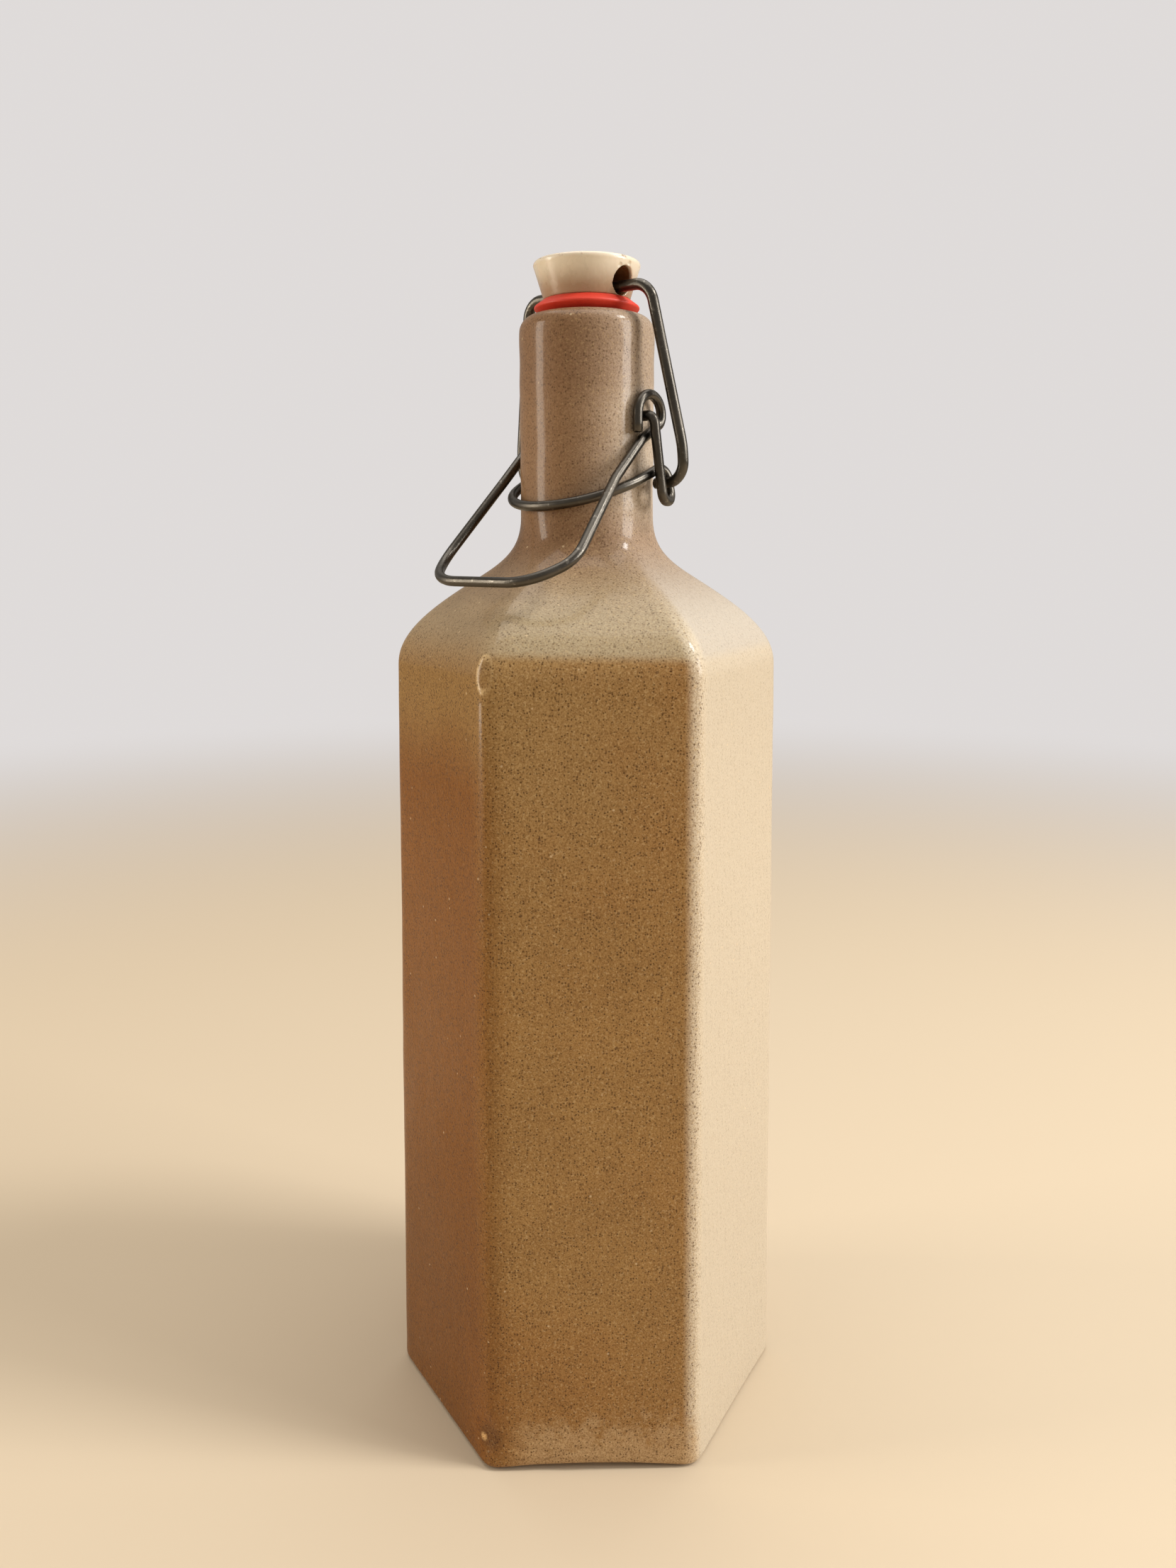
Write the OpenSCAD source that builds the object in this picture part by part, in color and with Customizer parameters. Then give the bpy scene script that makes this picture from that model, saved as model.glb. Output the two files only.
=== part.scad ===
// Hexagonal stoneware bottle with a wire swing top.
// Origin: centre of the foot. +Z up. The thumb lever points to -Y and every hinge axis runs along X.

/* [Body] */
// Apothem of the hexagonal body at the foot (centre to the middle of a face)
foot_apothem = 45.6; // [43:0.1:50]
// Apothem of the body just under the shoulder
body_apothem = 42.2; // [40:0.1:46]
// Radius of the upright edges between the faces
edge_r = 5.5; // [3:0.1:8]
// Height at which the faces turn over into the shoulder
shoulder_z = 198; // [180:0.5:202]
// Height of the round between the faces and the shoulder
shoulder_round = 8.5; // [5:0.5:11]
// Radius at which the shoulder turns up into the neck
collar_r = 26; // [23:0.1:29]
// Height of that turn
collar_z = 220.3; // [216:0.1:224]
// Slope of the shoulder at that turn
collar_slope = 31.5; // [24:0.5:38]
// Height at which the neck becomes a true cylinder
neck_z = 235; // [231:0.5:235.5]
// Turn of the body against the closure, about Z
body_turn = 11.5; // [-30:0.5:30]
// Thickness of the side wall
wall = 7; // [5:0.1:8]
// Thickness of the floor
floor_t = 9; // [7:0.5:14]
// Depth of the dish in the middle of the floor, inside
floor_dish = 1; // [0.5:0.1:2]
// Rounding of the outer edge of the foot
foot_round = 1.2; // [0.6:0.1:2.5]
// Lift of the one foot edge that warped in the kiln
foot_lift = 1.3; // [0.5:0.1:2]
// How far that lift reaches in from the face
foot_lift_depth = 7; // [4:0.5:12]

/* [Neck] */
// Outer diameter of the neck
neck_d = 32.8; // [31:0.1:33.2]
// Diameter of the bore through the neck
bore_d = 17; // [16.8:0.1:19]
// Height of the top of the lip
lip_z = 281.6; // [277:0.1:286]
// Rounding of the outer edge of the lip
lip_round = 3.6; // [2:0.1:4.5]
// Rounding of the mouth
mouth_round = 0.9; // [0.4:0.1:1.5]
// Depth of the two dimples that hold the yoke wire
dimple_depth = 3; // [2:0.1:4]

/* [Stopper and washer] */
// Thickness of the rubber washer
washer_t = 3.6; // [3:0.1:5]
// Outer diameter of the washer at its ridge
washer_d = 25.5; // [23:0.1:28]
// Outer diameter of the washer's flat faces
washer_face_d = 21.2; // [20:0.1:22.5]
// Bore of the washer
washer_bore_d = 13.8; // [12.5:0.1:14.5]
// Diameter of the stopper's head where it meets the washer
head_foot_d = 20.8; // [19:0.1:23]
// Diameter of the stopper's head at its rim
head_rim_d = 25.8; // [24:0.1:28]
// Height of the stopper's head
head_h = 8.7; // [8:0.1:11]
// Rounding of the rim of the head
rim_round = 0.9; // [0.4:0.1:1.4]
// Length of the stopper's nose below the washer
nose_l = 7; // [4:0.1:8]
// Diameter of the bulge below the washer that keeps it on
nose_bulge_d = 14.6; // [14:0.1:15]
// Diameter of the nose at its tip
nose_tip_d = 9.6; // [8:0.1:12]
// Width of the cross hole in the head
hole_w = 6.4; // [4:0.1:7]
// Porcelain left between the cross hole and the top of the head
hole_roof = 2.2; // [1:0.1:3]
// Porcelain left between the wire's seat and the washer
seat_web = 0.6; // [0.4:0.1:1.2]

/* [Closure wires] */
// Diameter of the bail wire
bail_wire_d = 2.6; // [2.2:0.1:2.8]
// Diameter of the yoke wire and of the thumb lever wire
lever_wire_d = 2.4; // [2:0.1:2.5]
// Radial clearance of a wire in its hole or dimple
wire_fit = 0.1; // [0.05:0.01:0.1]
// Depth of the lever pivot below the lip
pivot_drop = 24.1; // [23:0.1:27]
// Height of the bail's eyes below the lever pivot
eye_drop = 15.3; // [14:0.1:17]
// Distance of the bail's eyes behind the lever pivot, which locks the closure
eye_back = 5.2; // [4:0.1:5.6]

/* [Bail] */
// Half width of the bail at its top corners
bail_top_half = 18.9; // [18:0.1:21]
// Half width of the bail where it is widest
bail_foot_half = 25.9; // [25.2:0.1:28]
// Length of the widest stretch, above the eyes
bail_knee_l = 8.5; // [7.6:0.1:11]
// Bend radius of the bail's corners
bail_bend = 5; // [3:0.1:5.2]
// Gap between each end of the bail and the neck
bail_end_gap = 0.8; // [0.5:0.1:1.5]

/* [Yoke] */
// Gap between the side of the neck and the strand that lies round its front
strand_gap = 0.8; // [0.4:0.1:1.2]
// Gap between the front of the neck and the strand
strand_front_gap = 0.5; // [0.2:0.1:1.5]
// Slope of the strand, down towards the thumb
strand_tilt = 21.5; // [18:0.5:24]
// Height of the strand at the sides of the neck, below the pivot
strand_drop = 13.8; // [13.2:0.1:14.4]
// Gap between the curled end of the thumb lever and the riser beside it
riser_gap = 0.45; // [0.3:0.05:1]
// How far the riser leans out on its way down
riser_lean = 1.1; // [0.8:0.1:2]
// Bend radius at the yoke's pivot pins, to the middle of the wire
pin_bend = 1.9; // [1.8:0.05:2.4]
// Bend radius of the yoke's eye, to the middle of the wire
eye_bend = 2.55; // [2.3:0.05:2.6]
// Free space below the bail's end in its eye
eye_slack = 1.8; // [1:0.1:2.5]
// Gap behind the bail's end in its eye
eye_rear_gap = 0.15; // [0.1:0.05:0.4]

/* [Thumb lever] */
// Gap between the neck and the curled ends of the thumb lever
curl_gap = 0.4; // [0.3:0.05:0.6]
// Gap between the free leg of each curl and the pivot pin
curl_pin_gap = 0.4; // [0.2:0.05:0.8]
// Bend radius of the curl, to the middle of the wire
curl_bend = 4.55; // [4.4:0.05:4.65]
// Height of the curl's top above the pivot
curl_rise = 5; // [4.9:0.1:6.5]
// Length of the curl's free leg
curl_leg = 8.9; // [8:0.1:9.1]
// Reach and drop of the arm's first bend, under the curl, from the pivot
arm_reach = 1.3; // [0.8:0.1:1.6]
arm_drop = 5.5; // [5.4:0.1:6]
// Reach and drop of the arm's elbow, where it comes past the front of the neck
elbow_reach = 10.9; // [9:0.1:13]
elbow_drop = 14.5; // [13:0.1:16]
// Reach, drop and half width of the arm's knee, its widest place
knee_reach = 28.7; // [26:0.1:31]
knee_drop = 33.3; // [31:0.1:34]
knee_half = 21; // [19:0.1:22]
// Bend radius of the elbow, and of the bend under the curl
elbow_bend = 18; // [8:0.5:20]
arm_bend = 2.4; // [2:0.1:2.5]
// Bend radius of the knee
knee_bend = 11.5; // [6:0.5:12]
// Reach of the thumb bar in front of the pivot
thumb_reach = 38.1; // [36:0.1:42]
// Drop of the thumb bar below the pivot
thumb_drop = 38.2; // [36.4:0.1:38.6]
// Half width of the thumb bar
thumb_half = 14.9; // [12:0.1:16]
// Bend radius of the thumb bar's corners
thumb_bend = 11.5; // [5:0.5:12]

/* [Hidden] */

stoneware = [0.66, 0.54, 0.38];
wire_steel = [0.33, 0.32, 0.30];
porcelain = [0.93, 0.88, 0.78];
rubber_red = [0.80, 0.16, 0.10];

neck_r = neck_d / 2;
bore_r = bore_d / 2;
bore_foot_z = neck_z - wall * 0.4;
bail_r = bail_wire_d / 2;
lever_r = lever_wire_d / 2;
touch = 0.02;
neck_step = 0.15;
neck_plug_l = 4;

// Heights of the three pivots: the lever turns in the dimples, the bail hangs in the yoke's eyes,
// and the stopper hangs on the bail
pivot_z = lip_z - pivot_drop;
eye_z = pivot_z - eye_drop;
head_z = lip_z + washer_t;
hook_z = head_z + seat_web + bail_r + wire_fit;

// ---- Body ---------------------------------------------------------------------------------------

face_steps = 6;
inner_face_steps = 3;
dish_r = 6;
edge_crowding = 2.2;
body_rings = 5;
brow_rings = 8;
collar_rings = 7;
brow_pull = 0.54;
throat_pull = 0.68;
rounding_growth = 2.4;

// Ridge radius of a hexagon of apothem a whose edges have radius r, and the edge radius from both
function ridge(a, r) = r + (a - r) / cos(30);
function edge_radius(a, reach) = (a / cos(30) - reach) / (1 / cos(30) - 1);

// Distance from the axis to that hexagon, t degrees off the middle of a face
function hex_reach(a, r, t) =
    let (flat_half = (a - r) * tan(30), c = (a - r) / cos(30), along = c * cos(30 - abs(t)))
    a * tan(abs(t)) <= flat_half ? a / cos(t) : along + sqrt(max(0, r * r - c * c + along * along));

// One ring of points, crowded towards the six edges
function ring(level, steps) =
    [for (f = [0:5], i = [-steps + 1:steps])
        let (
            s = abs(i) / steps,
            t = sign(i) * 30 * (1 - pow(1 - s, edge_crowding)),
            reach = hex_reach(level[0], level[1], t)
        )
        [reach * cos(f * 60 + t), reach * sin(f * 60 + t), level[2]]];

function cubic(p, s) =
    pow(1 - s, 3) * p[0] + 3 * s * pow(1 - s, 2) * p[1] + 3 * s * s * (1 - s) * p[2] + pow(s, 3) * p[3];

// Level of a ring from its ridge radius and height; roundness 0 keeps the flats, 1 is a circle
function level(reach, z, roundness, flatness) =
    let (a = reach * (flatness + (1 - flatness) * roundness))
    [a, min(edge_radius(a, reach), a - touch), z];

// Ridge curve of the shoulder as two cubics, [radius, height] pairs: over the brow, then up the collar
function brow(reach, z, collar) =
    [[reach, z], [reach, z + shoulder_round],
     collar + brow_pull * (reach - collar[0]) * [1, -tan(collar_slope)], collar];
function throat(collar, r, z) =
    [collar, collar + throat_pull * (collar[0] - r) * [-1, tan(collar_slope)],
     [r, (z + collar[1]) / 2], [r, z]];

function shoulder_levels(a, r, z, collar, top_r, top_z) =
    let (
        reach = ridge(a, r),
        flatness = a / reach,
        over = brow(reach, z, collar),
        up = throat(collar, top_r, top_z),
        total = brow_rings + collar_rings
    )
    [for (i = [0:total])
        let (p = i <= brow_rings ? cubic(over, i / brow_rings) : cubic(up, (i - brow_rings) / collar_rings))
        level(p[0], p[1], pow(i / total, rounding_growth), flatness)];

// Straight stretch of the body between two levels, both ends left out
function side_levels(from, to, count) = [for (i = [1:count - 1]) from + (to - from) * i / count];

// A closed solid through a stack of rings of n points each, turning anticlockwise about the way they go
module skin(points, n) {
    top = len(points) / n - 1;
    polyhedron(points = points, convexity = 6, faces = concat(
        [[for (i = [0:n - 1]) i]],
        [for (k = [0:top - 1], i = [0:n - 1])
            let (a = k * n + i, b = k * n + (i + 1) % n) each [[a, a + n, b], [b, a + n, b + n]]],
        [[for (i = [n - 1:-1:0]) top * n + i]]));
}

module loft(levels, steps) {
    skin([for (l = levels, p = ring(l, steps)) p], 12 * steps);
}

module outer_form() {
    foot = [foot_apothem, edge_r, foot_round];
    top = shoulder_levels(body_apothem, edge_r, shoulder_z, [collar_r, collar_z], neck_r + neck_step, neck_z);
    loft(concat(
        [foot - foot_round * [1, 0.6, 1], foot - foot_round * [0.3, 0.2, 0.7], foot],
        side_levels(foot, top[0], body_rings), top), face_steps);
}

module inner_form() {
    inner_edge_r = max(2, edge_r - wall / 2);
    slope_wall = wall * 0.9;
    brow_drop = wall * 0.3;
    throat_in = wall * 0.35;
    foot = [foot_apothem - wall, inner_edge_r, floor_t + wall / 2];
    top = shoulder_levels(body_apothem - wall, inner_edge_r, shoulder_z - brow_drop,
        [collar_r - slope_wall * sin(collar_slope) - throat_in, collar_z - slope_wall * cos(collar_slope)],
        bore_r - neck_step, bore_foot_z + touch);
    loft(concat(
        [[dish_r, dish_r - touch, floor_t - floor_dish], foot - wall / 2 * [1, 0, 1], foot - wall / 2 * [0.3, 0, 0.7], foot],
        side_levels(foot, top[0], body_rings), top), inner_face_steps);
}

// Neck with its rounded lip, rooted in the end of the shoulder
module neck_form() {
    neck_l = lip_z - neck_z + neck_plug_l;
    translate([0, 0, lip_z - neck_l])
        rotate_extrude($fn = 96)
            difference() {
                square([neck_r, neck_l]);
                translate([neck_r - lip_round, neck_l - lip_round])
                    difference() {
                        square(lip_round + touch);
                        circle(lip_round, $fn = 64);
                    }
            }
}

module bore_form() {
    translate([0, 0, bore_foot_z]) cylinder(r = bore_r, h = lip_z - bore_foot_z + 1, $fn = 96);
    translate([0, 0, lip_z - mouth_round])
        rotate_extrude($fn = 96)
            difference() {
                square([bore_r + mouth_round, mouth_round + 1]);
                translate([bore_r + mouth_round, 0]) circle(mouth_round, $fn = 48);
            }
}

// Cylinder lying across the warped face, which lifts the middle of its foot edge
module foot_lift_form() {
    chord_half = foot_apothem * tan(30) - edge_r;
    lift_r = (chord_half * chord_half + foot_lift * foot_lift) / (2 * foot_lift);
    translate([foot_apothem - foot_lift_depth, 0, foot_lift - lift_r])
        rotate([0, 90, 0]) cylinder(r = lift_r, h = foot_lift_depth + 5, $fn = 360);
}

module bottle_body() {
    color(stoneware)
        difference() {
            union() {
                rotate([0, 0, body_turn - 60]) outer_form();
                neck_form();
            }
            rotate([0, 0, body_turn - 60]) {
                inner_form();
                foot_lift_form();
            }
            bore_form();
            for (side = [0, 1])
                mirror([side, 0, 0])
                    translate([neck_r - dimple_depth, 0, pivot_z])
                        rotate([0, 90, 0])
                            cylinder(r = lever_r + wire_fit, h = dimple_depth + 2, $fn = 48);
        }
}

// ---- Bent wire ----------------------------------------------------------------------------------
// A wire is a list of stations, [point on its middle line, direction there].

wire_sides = 16;
bend_step = 15;

function unit(v) = v / norm(v);
function turn_between(u, w) = acos(max(-1, min(1, u * w)));
function reversed(list) = [for (i = [len(list) - 1:-1:0]) list[i]];
function mirrored(points) = [for (p = points) [-p[0], p[1], p[2]]];

// Stations round a bend of radius r at corner b, between the straights from a and to c
function bend(a, b, c, r) =
    let (
        u = unit(b - a),
        w = unit(c - b),
        turn = turn_between(u, w),
        start = b - u * r * tan(turn / 2),
        out = -unit(w - u * (u * w)),
        middle = start - out * r,
        steps = ceil(turn / bend_step)
    )
    [for (i = [0:steps])
        let (t = turn * i / steps)
        [middle + r * (out * cos(t) + u * sin(t)), u * cos(t) - out * sin(t)]];

// Stations of a wire through points, with bend radius bends[i] at point i (the two ends take none)
function stations(points, bends) =
    let (last = len(points) - 1)
    concat(
        [[points[0], unit(points[1] - points[0])]],
        [for (i = [1:last - 1]) each bend(points[i - 1], points[i], points[i + 1], bends[i])],
        [[points[last], unit(points[last] - points[last - 1])]]);

// Cross directions carried along the wire without twist
function carried(n, direction) = unit(n - direction * (n * direction));
function first_cross(w) = unit(cross(w, abs(w[2]) < 0.9 ? [0, 0, 1] : [1, 0, 0]));
function crosses(line) =
    [for (i = 0, n = first_cross(line[0][1]); i < len(line);
        i = i + 1, n = carried(n, line[min(i, len(line) - 1)][1])) n];

module wire(line, d) {
    n = crosses(line);
    skin([for (k = [0:len(line) - 1], i = [0:wire_sides - 1])
        let (t = 360 * i / wire_sides)
        line[k][0] + d / 2 * (n[k] * cos(t) + cross(line[k][1], n[k]) * sin(t))], wire_sides);
}

// True round stretch of wire along X, over the stations that turn in a hole or an eye
module round_stretch(x, y, z, length, d) {
    translate([x, y, z]) rotate([0, 90, 0]) cylinder(d = d, h = length, $fn = 48);
}

// ---- Closure ------------------------------------------------------------------------------------

// Planes of the wires beside the neck, counted outwards
curl_x = neck_r + curl_gap + lever_r;
riser_top_x = curl_x + 2 * lever_r + riser_gap - riser_lean * 0.25;
riser_foot_x = riser_top_x + riser_lean;
strand_x = neck_r + strand_gap + lever_r;
eye_rear_x = riser_foot_x * 0.6 + strand_x * 0.4;

eye_rear_y = eye_back + bail_r + eye_rear_gap + lever_r;
eye_foot_z = eye_z - bail_r - eye_slack - lever_r;
riser_foot_y = eye_rear_y - 2 * eye_bend - 0.2;

// The strand is half a ring in a plane that falls towards the thumb
strand_z = pivot_z - strand_drop;
strand_reach = (neck_r + strand_front_gap + lever_r) / cos(strand_tilt);
strand_shift = strand_reach - strand_x;

// Point of the strand's plane at depth y behind the bottle's axis
function on_strand(x, y) = [x, y, strand_z + y * tan(strand_tilt)];

module yoke_wire() {
    pin_x = neck_r - dimple_depth + wire_fit;
    strand_end = on_strand(strand_x, -strand_shift * cos(strand_tilt));
    arm = [
        [pin_x + touch, 0, pivot_z],
        [riser_top_x, 0, pivot_z],
        [riser_foot_x, riser_foot_y, eye_foot_z],
        [eye_rear_x, eye_rear_y, eye_foot_z],
        on_strand(strand_x, eye_rear_y),
        strand_end
    ];
    arm_bends = [0, pin_bend, eye_bend, eye_bend, eye_bend, 0];
    strand_steps = 24;
    along = [0, cos(strand_tilt), sin(strand_tilt)];
    strand_middle = [0, 0, strand_z] - along * strand_shift;
    strand = [for (i = [1:strand_steps - 1])
        let (t = 180 * i / strand_steps)
        [strand_middle + strand_x * ([cos(t), 0, 0] - along * sin(t)), -[sin(t), 0, 0] - along * cos(t)]];
    other_arm = reversed(mirrored(arm));
    color(wire_steel) {
        wire(concat(stations(arm, arm_bends), strand, stations(other_arm, reversed(arm_bends))),
            lever_wire_d - 2 * touch);
        for (side = [0, 1])
            mirror([side, 0, 0])
                round_stretch(pin_x, 0, pivot_z, riser_top_x - pin_bend - pin_x, lever_wire_d);
    }
}

module thumb_lever() {
    leg_y = -lever_wire_d - curl_pin_gap;
    back_y = leg_y + 2 * curl_bend + touch;
    curl_top = pivot_z + curl_rise;
    arm = [
        [curl_x, leg_y, curl_top - curl_leg],
        [curl_x, leg_y, curl_top],
        [curl_x, back_y, curl_top],
        [curl_x, back_y, pivot_z - lever_r],
        [curl_x, -arm_reach, pivot_z - arm_drop],
        [curl_x, -elbow_reach, pivot_z - elbow_drop],
        [knee_half, -knee_reach, pivot_z - knee_drop],
        [thumb_half, -thumb_reach, pivot_z - thumb_drop]
    ];
    bends = [0, curl_bend, curl_bend, arm_bend, arm_bend, elbow_bend, knee_bend, thumb_bend];
    color(wire_steel)
        wire(stations(concat(arm, reversed(mirrored(arm))), concat(bends, reversed(bends))), lever_wire_d);
}

module bail_wire() {
    drop = norm([eye_back, hook_z - eye_z]);
    lean = atan2(eye_back, hook_z - eye_z);
    end_x = neck_r + bail_end_gap;
    knee_sweep = 20;
    arm = [
        [bail_top_half, 0, 0],
        [bail_foot_half, 0, bail_knee_l - drop],
        [bail_foot_half, 0, -drop],
        [end_x + touch, 0, -drop]
    ];
    bends = [bail_bend, knee_sweep, bail_bend, 0];
    top_half = bail_top_half - bail_bend;
    color(wire_steel)
        translate([0, 0, hook_z])
            rotate([lean, 0, 0]) {
                wire(stations(concat(reversed(mirrored(arm)), arm), concat(reversed(bends), bends)),
                    bail_wire_d - 2 * touch);
                round_stretch(-top_half, 0, 0, 2 * top_half, bail_wire_d);
                for (side = [0, 1])
                    mirror([side, 0, 0])
                        round_stretch(end_x, 0, -drop, bail_foot_half - bail_bend - end_x, bail_wire_d);
            }
}

// Outline of the stopper, from its tip up the nose and the head to the middle of its top
module stopper_outline() {
    nose_tip_z = lip_z - nose_l;
    neck_fit = washer_bore_d / 2 - wire_fit / 2;
    polygon([
            [0, nose_tip_z], [nose_tip_d / 2 - 1.5, nose_tip_z], [nose_tip_d / 2, nose_tip_z + 1.5],
            [nose_bulge_d / 2 - 0.5, lip_z - 2.4], [nose_bulge_d / 2, lip_z - 1.8],
            [nose_bulge_d / 2, lip_z - 1.0], [neck_fit, lip_z - 0.3],
            [neck_fit, head_z], [head_foot_d / 2, head_z],
            [head_rim_d / 2, head_z + head_h - rim_round], [head_rim_d / 2 - rim_round, head_z + head_h],
            [0, head_z + head_h]
        ]);
    translate([head_rim_d / 2 - rim_round, head_z + head_h - rim_round]) circle(rim_round, $fn = 32);
}

module stopper() {
    hole_top = head_z + head_h - hole_roof;
    color(porcelain)
        difference() {
            rotate_extrude($fn = 96) stopper_outline();
            translate([-head_rim_d, 0, hook_z]) rotate([0, 90, 0])
                cylinder(r = bail_r + wire_fit, h = 2 * head_rim_d, $fn = 48);
            translate([-head_rim_d, 0, hole_top - hole_w / 2]) rotate([0, 90, 0])
                cylinder(d = hole_w, h = 2 * head_rim_d, $fn = 64);
            translate([-head_rim_d, -hole_w / 2, hook_z])
                cube([2 * head_rim_d, hole_w, hole_top - hole_w / 2 - hook_z]);
        }
}

module rubber_washer() {
    ridge_flat = 0.5;
    color(rubber_red)
        rotate_extrude($fn = 96)
            polygon([
                [washer_bore_d / 2, lip_z], [washer_face_d / 2, lip_z],
                [washer_d / 2, lip_z + washer_t / 2 - ridge_flat / 2],
                [washer_d / 2, lip_z + washer_t / 2 + ridge_flat / 2],
                [washer_face_d / 2, head_z], [washer_bore_d / 2, head_z]
            ]);
}

bottle_body();
yoke_wire();
thumb_lever();
bail_wire();
stopper();
rubber_washer();
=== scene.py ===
"""Hexagonal stoneware bottle with a wire swing top: its glazes, its bent wires, its porcelain and rubber."""

import math
from types import SimpleNamespace

import bmesh
import bpy
from mathutils import Matrix, Vector, noise


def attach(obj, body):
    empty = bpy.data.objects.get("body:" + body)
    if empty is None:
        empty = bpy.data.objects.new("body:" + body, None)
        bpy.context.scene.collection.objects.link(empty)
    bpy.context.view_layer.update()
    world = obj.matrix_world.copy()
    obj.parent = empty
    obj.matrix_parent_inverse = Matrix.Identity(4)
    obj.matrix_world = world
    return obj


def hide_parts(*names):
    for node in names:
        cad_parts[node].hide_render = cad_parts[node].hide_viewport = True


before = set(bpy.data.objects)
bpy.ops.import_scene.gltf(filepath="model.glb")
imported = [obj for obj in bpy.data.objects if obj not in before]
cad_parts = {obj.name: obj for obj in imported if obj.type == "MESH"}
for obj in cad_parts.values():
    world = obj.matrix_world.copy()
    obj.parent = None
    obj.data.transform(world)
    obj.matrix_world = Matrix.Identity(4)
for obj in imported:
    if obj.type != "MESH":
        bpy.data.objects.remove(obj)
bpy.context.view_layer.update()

MM = 0.001

# ---- Sizes in millimetres, as the frame has them -------------------------------------------------
FOOT_APOTHEM, BODY_APOTHEM, EDGE_R = 45.6, 42.2, 5.5
SHOULDER_Z, SHOULDER_ROUND = 198.0, 8.5
COLLAR_R, COLLAR_Z, COLLAR_SLOPE = 26.0, 220.3, math.radians(31.5)
NECK_Z, NECK_R, LIP_Z, LIP_ROUND = 235.0, 16.4, 281.6, 3.6
BORE_R, MOUTH_ROUND = 8.5, 0.9
WALL, FLOOR_T, FOOT_ROUND = 7.0, 9.0, 1.2
INNER_EDGE_R, INNER_COLLAR, BORE_FOOT_Z = 3.0, (20.3, 214.9), 232.2
PIVOT_Z, EYE_Y, EYE_Z, HOOK_Z = 257.5, 5.2, 242.2, 287.2
LEVER_WIRE_R, BAIL_WIRE_R = 1.2, 1.3
HEAD_Z, HEAD_TOP, HEAD_FOOT_R, HEAD_RIM_R = 285.2, 293.9, 10.4, 12.9
HOLE_Z, HOLE_HALF_W, HOLE_HALF_H = 289.0, 3.0, 3.6
WASHER_BORE_R, WASHER_FACE_R, WASHER_RIM_R, WASHER_RIM_H = 6.9, 10.6, 12.75, 0.5

# Where the front face looks, in degrees from -Y round to +X; the other faces stand 60 degrees apart
FRONT = 41.5
BODY_TURN = math.radians(FRONT - 90)

# Below the heel and above the brow the skin's levels stand closer, because its marks are there
HEEL_Z, BROW_Z = 20.0, 188.0


# ---- Making meshes -------------------------------------------------------------------------------
def finished(mesh, name, body, replaced, finish):
    """Closes a bmesh built in millimetres into a piece that rides on a body."""
    bmesh.ops.remove_doubles(mesh, verts=mesh.verts, dist=0.0005)
    bmesh.ops.recalc_face_normals(mesh, faces=mesh.faces)
    bmesh.ops.scale(mesh, vec=(MM, MM, MM), verts=mesh.verts)
    for face in mesh.faces:
        face.smooth = True
    data = bpy.data.meshes.new(name)
    mesh.to_mesh(data)
    mesh.free()
    piece = bpy.data.objects.new(name, data)
    bpy.context.scene.collection.objects.link(piece)
    data.materials.append(finish)
    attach(piece, body)
    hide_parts(replaced)
    return piece


def rounded(piece, levels=1):
    subdivision = piece.modifiers.new("rounding", "SUBSURF")
    subdivision.levels = subdivision.render_levels = levels
    return piece


def pulled_out(mesh, rim):
    """Extrudes a rim of edges and returns its new vertices and edges."""
    made = bmesh.ops.extrude_edge_only(mesh, edges=rim)["geom"]
    return ([g for g in made if isinstance(g, bmesh.types.BMVert)],
            [g for g in made if isinstance(g, bmesh.types.BMEdge)])


# ---- The bottle: each level of it is a hexagon's apothem, its ridges' radius and a height -----------
COS30, TAN30 = math.cos(math.radians(30)), math.tan(math.radians(30))


def hexagon_reach(apothem, edge_r, angle):
    """Distance from the axis to a hexagon with rounded edges, along a direction."""
    off = abs((math.degrees(angle) + 30) % 60 - 30)
    t = math.radians(off)
    if apothem * math.tan(t) <= (apothem - edge_r) * TAN30:
        return apothem / math.cos(t)
    corner = (apothem - edge_r) / COS30
    along = corner * math.cos(math.radians(30 - off))
    return along + math.sqrt(max(0.0, edge_r ** 2 - corner ** 2 + along ** 2))


def soft_hexagon(reach, z, roundness, flatness):
    """A level whose ridges reach out to reach: roundness 0 keeps the flats, 1 is a circle."""
    apothem = reach * (flatness + (1 - flatness) * roundness)
    edge_r = (apothem / COS30 - reach) / (1 / COS30 - 1)
    return apothem, min(edge_r, apothem - 0.02), z


def cubic(points, s):
    weights = ((1 - s) ** 3, 3 * s * (1 - s) ** 2, 3 * s * s * (1 - s), s ** 3)
    return tuple(sum(w * p[i] for w, p in zip(weights, points)) for i in (0, 1))


def shoulder(apothem, edge_r, z, collar, top_r, top_z, over_steps, up_steps):
    """Levels over the brow to the collar and up the throat, from hexagon to circle."""
    reach, slope = edge_r + (apothem - edge_r) / COS30, math.tan(COLLAR_SLOPE)
    brow_pull, throat_pull = 0.54 * (reach - collar[0]), 0.68 * (collar[0] - top_r)
    brow = [(reach, z), (reach, z + SHOULDER_ROUND),
            (collar[0] + brow_pull, collar[1] - brow_pull * slope), collar]
    throat = [collar, (collar[0] - throat_pull, collar[1] + throat_pull * slope),
              (top_r, (top_z + collar[1]) / 2), (top_r, top_z)]
    total, levels = over_steps + up_steps, []
    for i in range(total + 1):
        radius, height = (cubic(brow, i / over_steps) if i <= over_steps
                          else cubic(throat, (i - over_steps) / up_steps))
        levels.append(soft_hexagon(radius, height, (i / total) ** 2.4, apothem / reach))
    return levels


def part_way(low, high, share):
    return tuple(a + (b - a) * share for a, b in zip(low, high))


def between(low, high, count):
    """Even levels between two others, which it leaves out."""
    return [part_way(low, high, i / count) for i in range(1, count)]


def turned_round(radius, z):
    return radius, radius - 0.01, z


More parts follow.
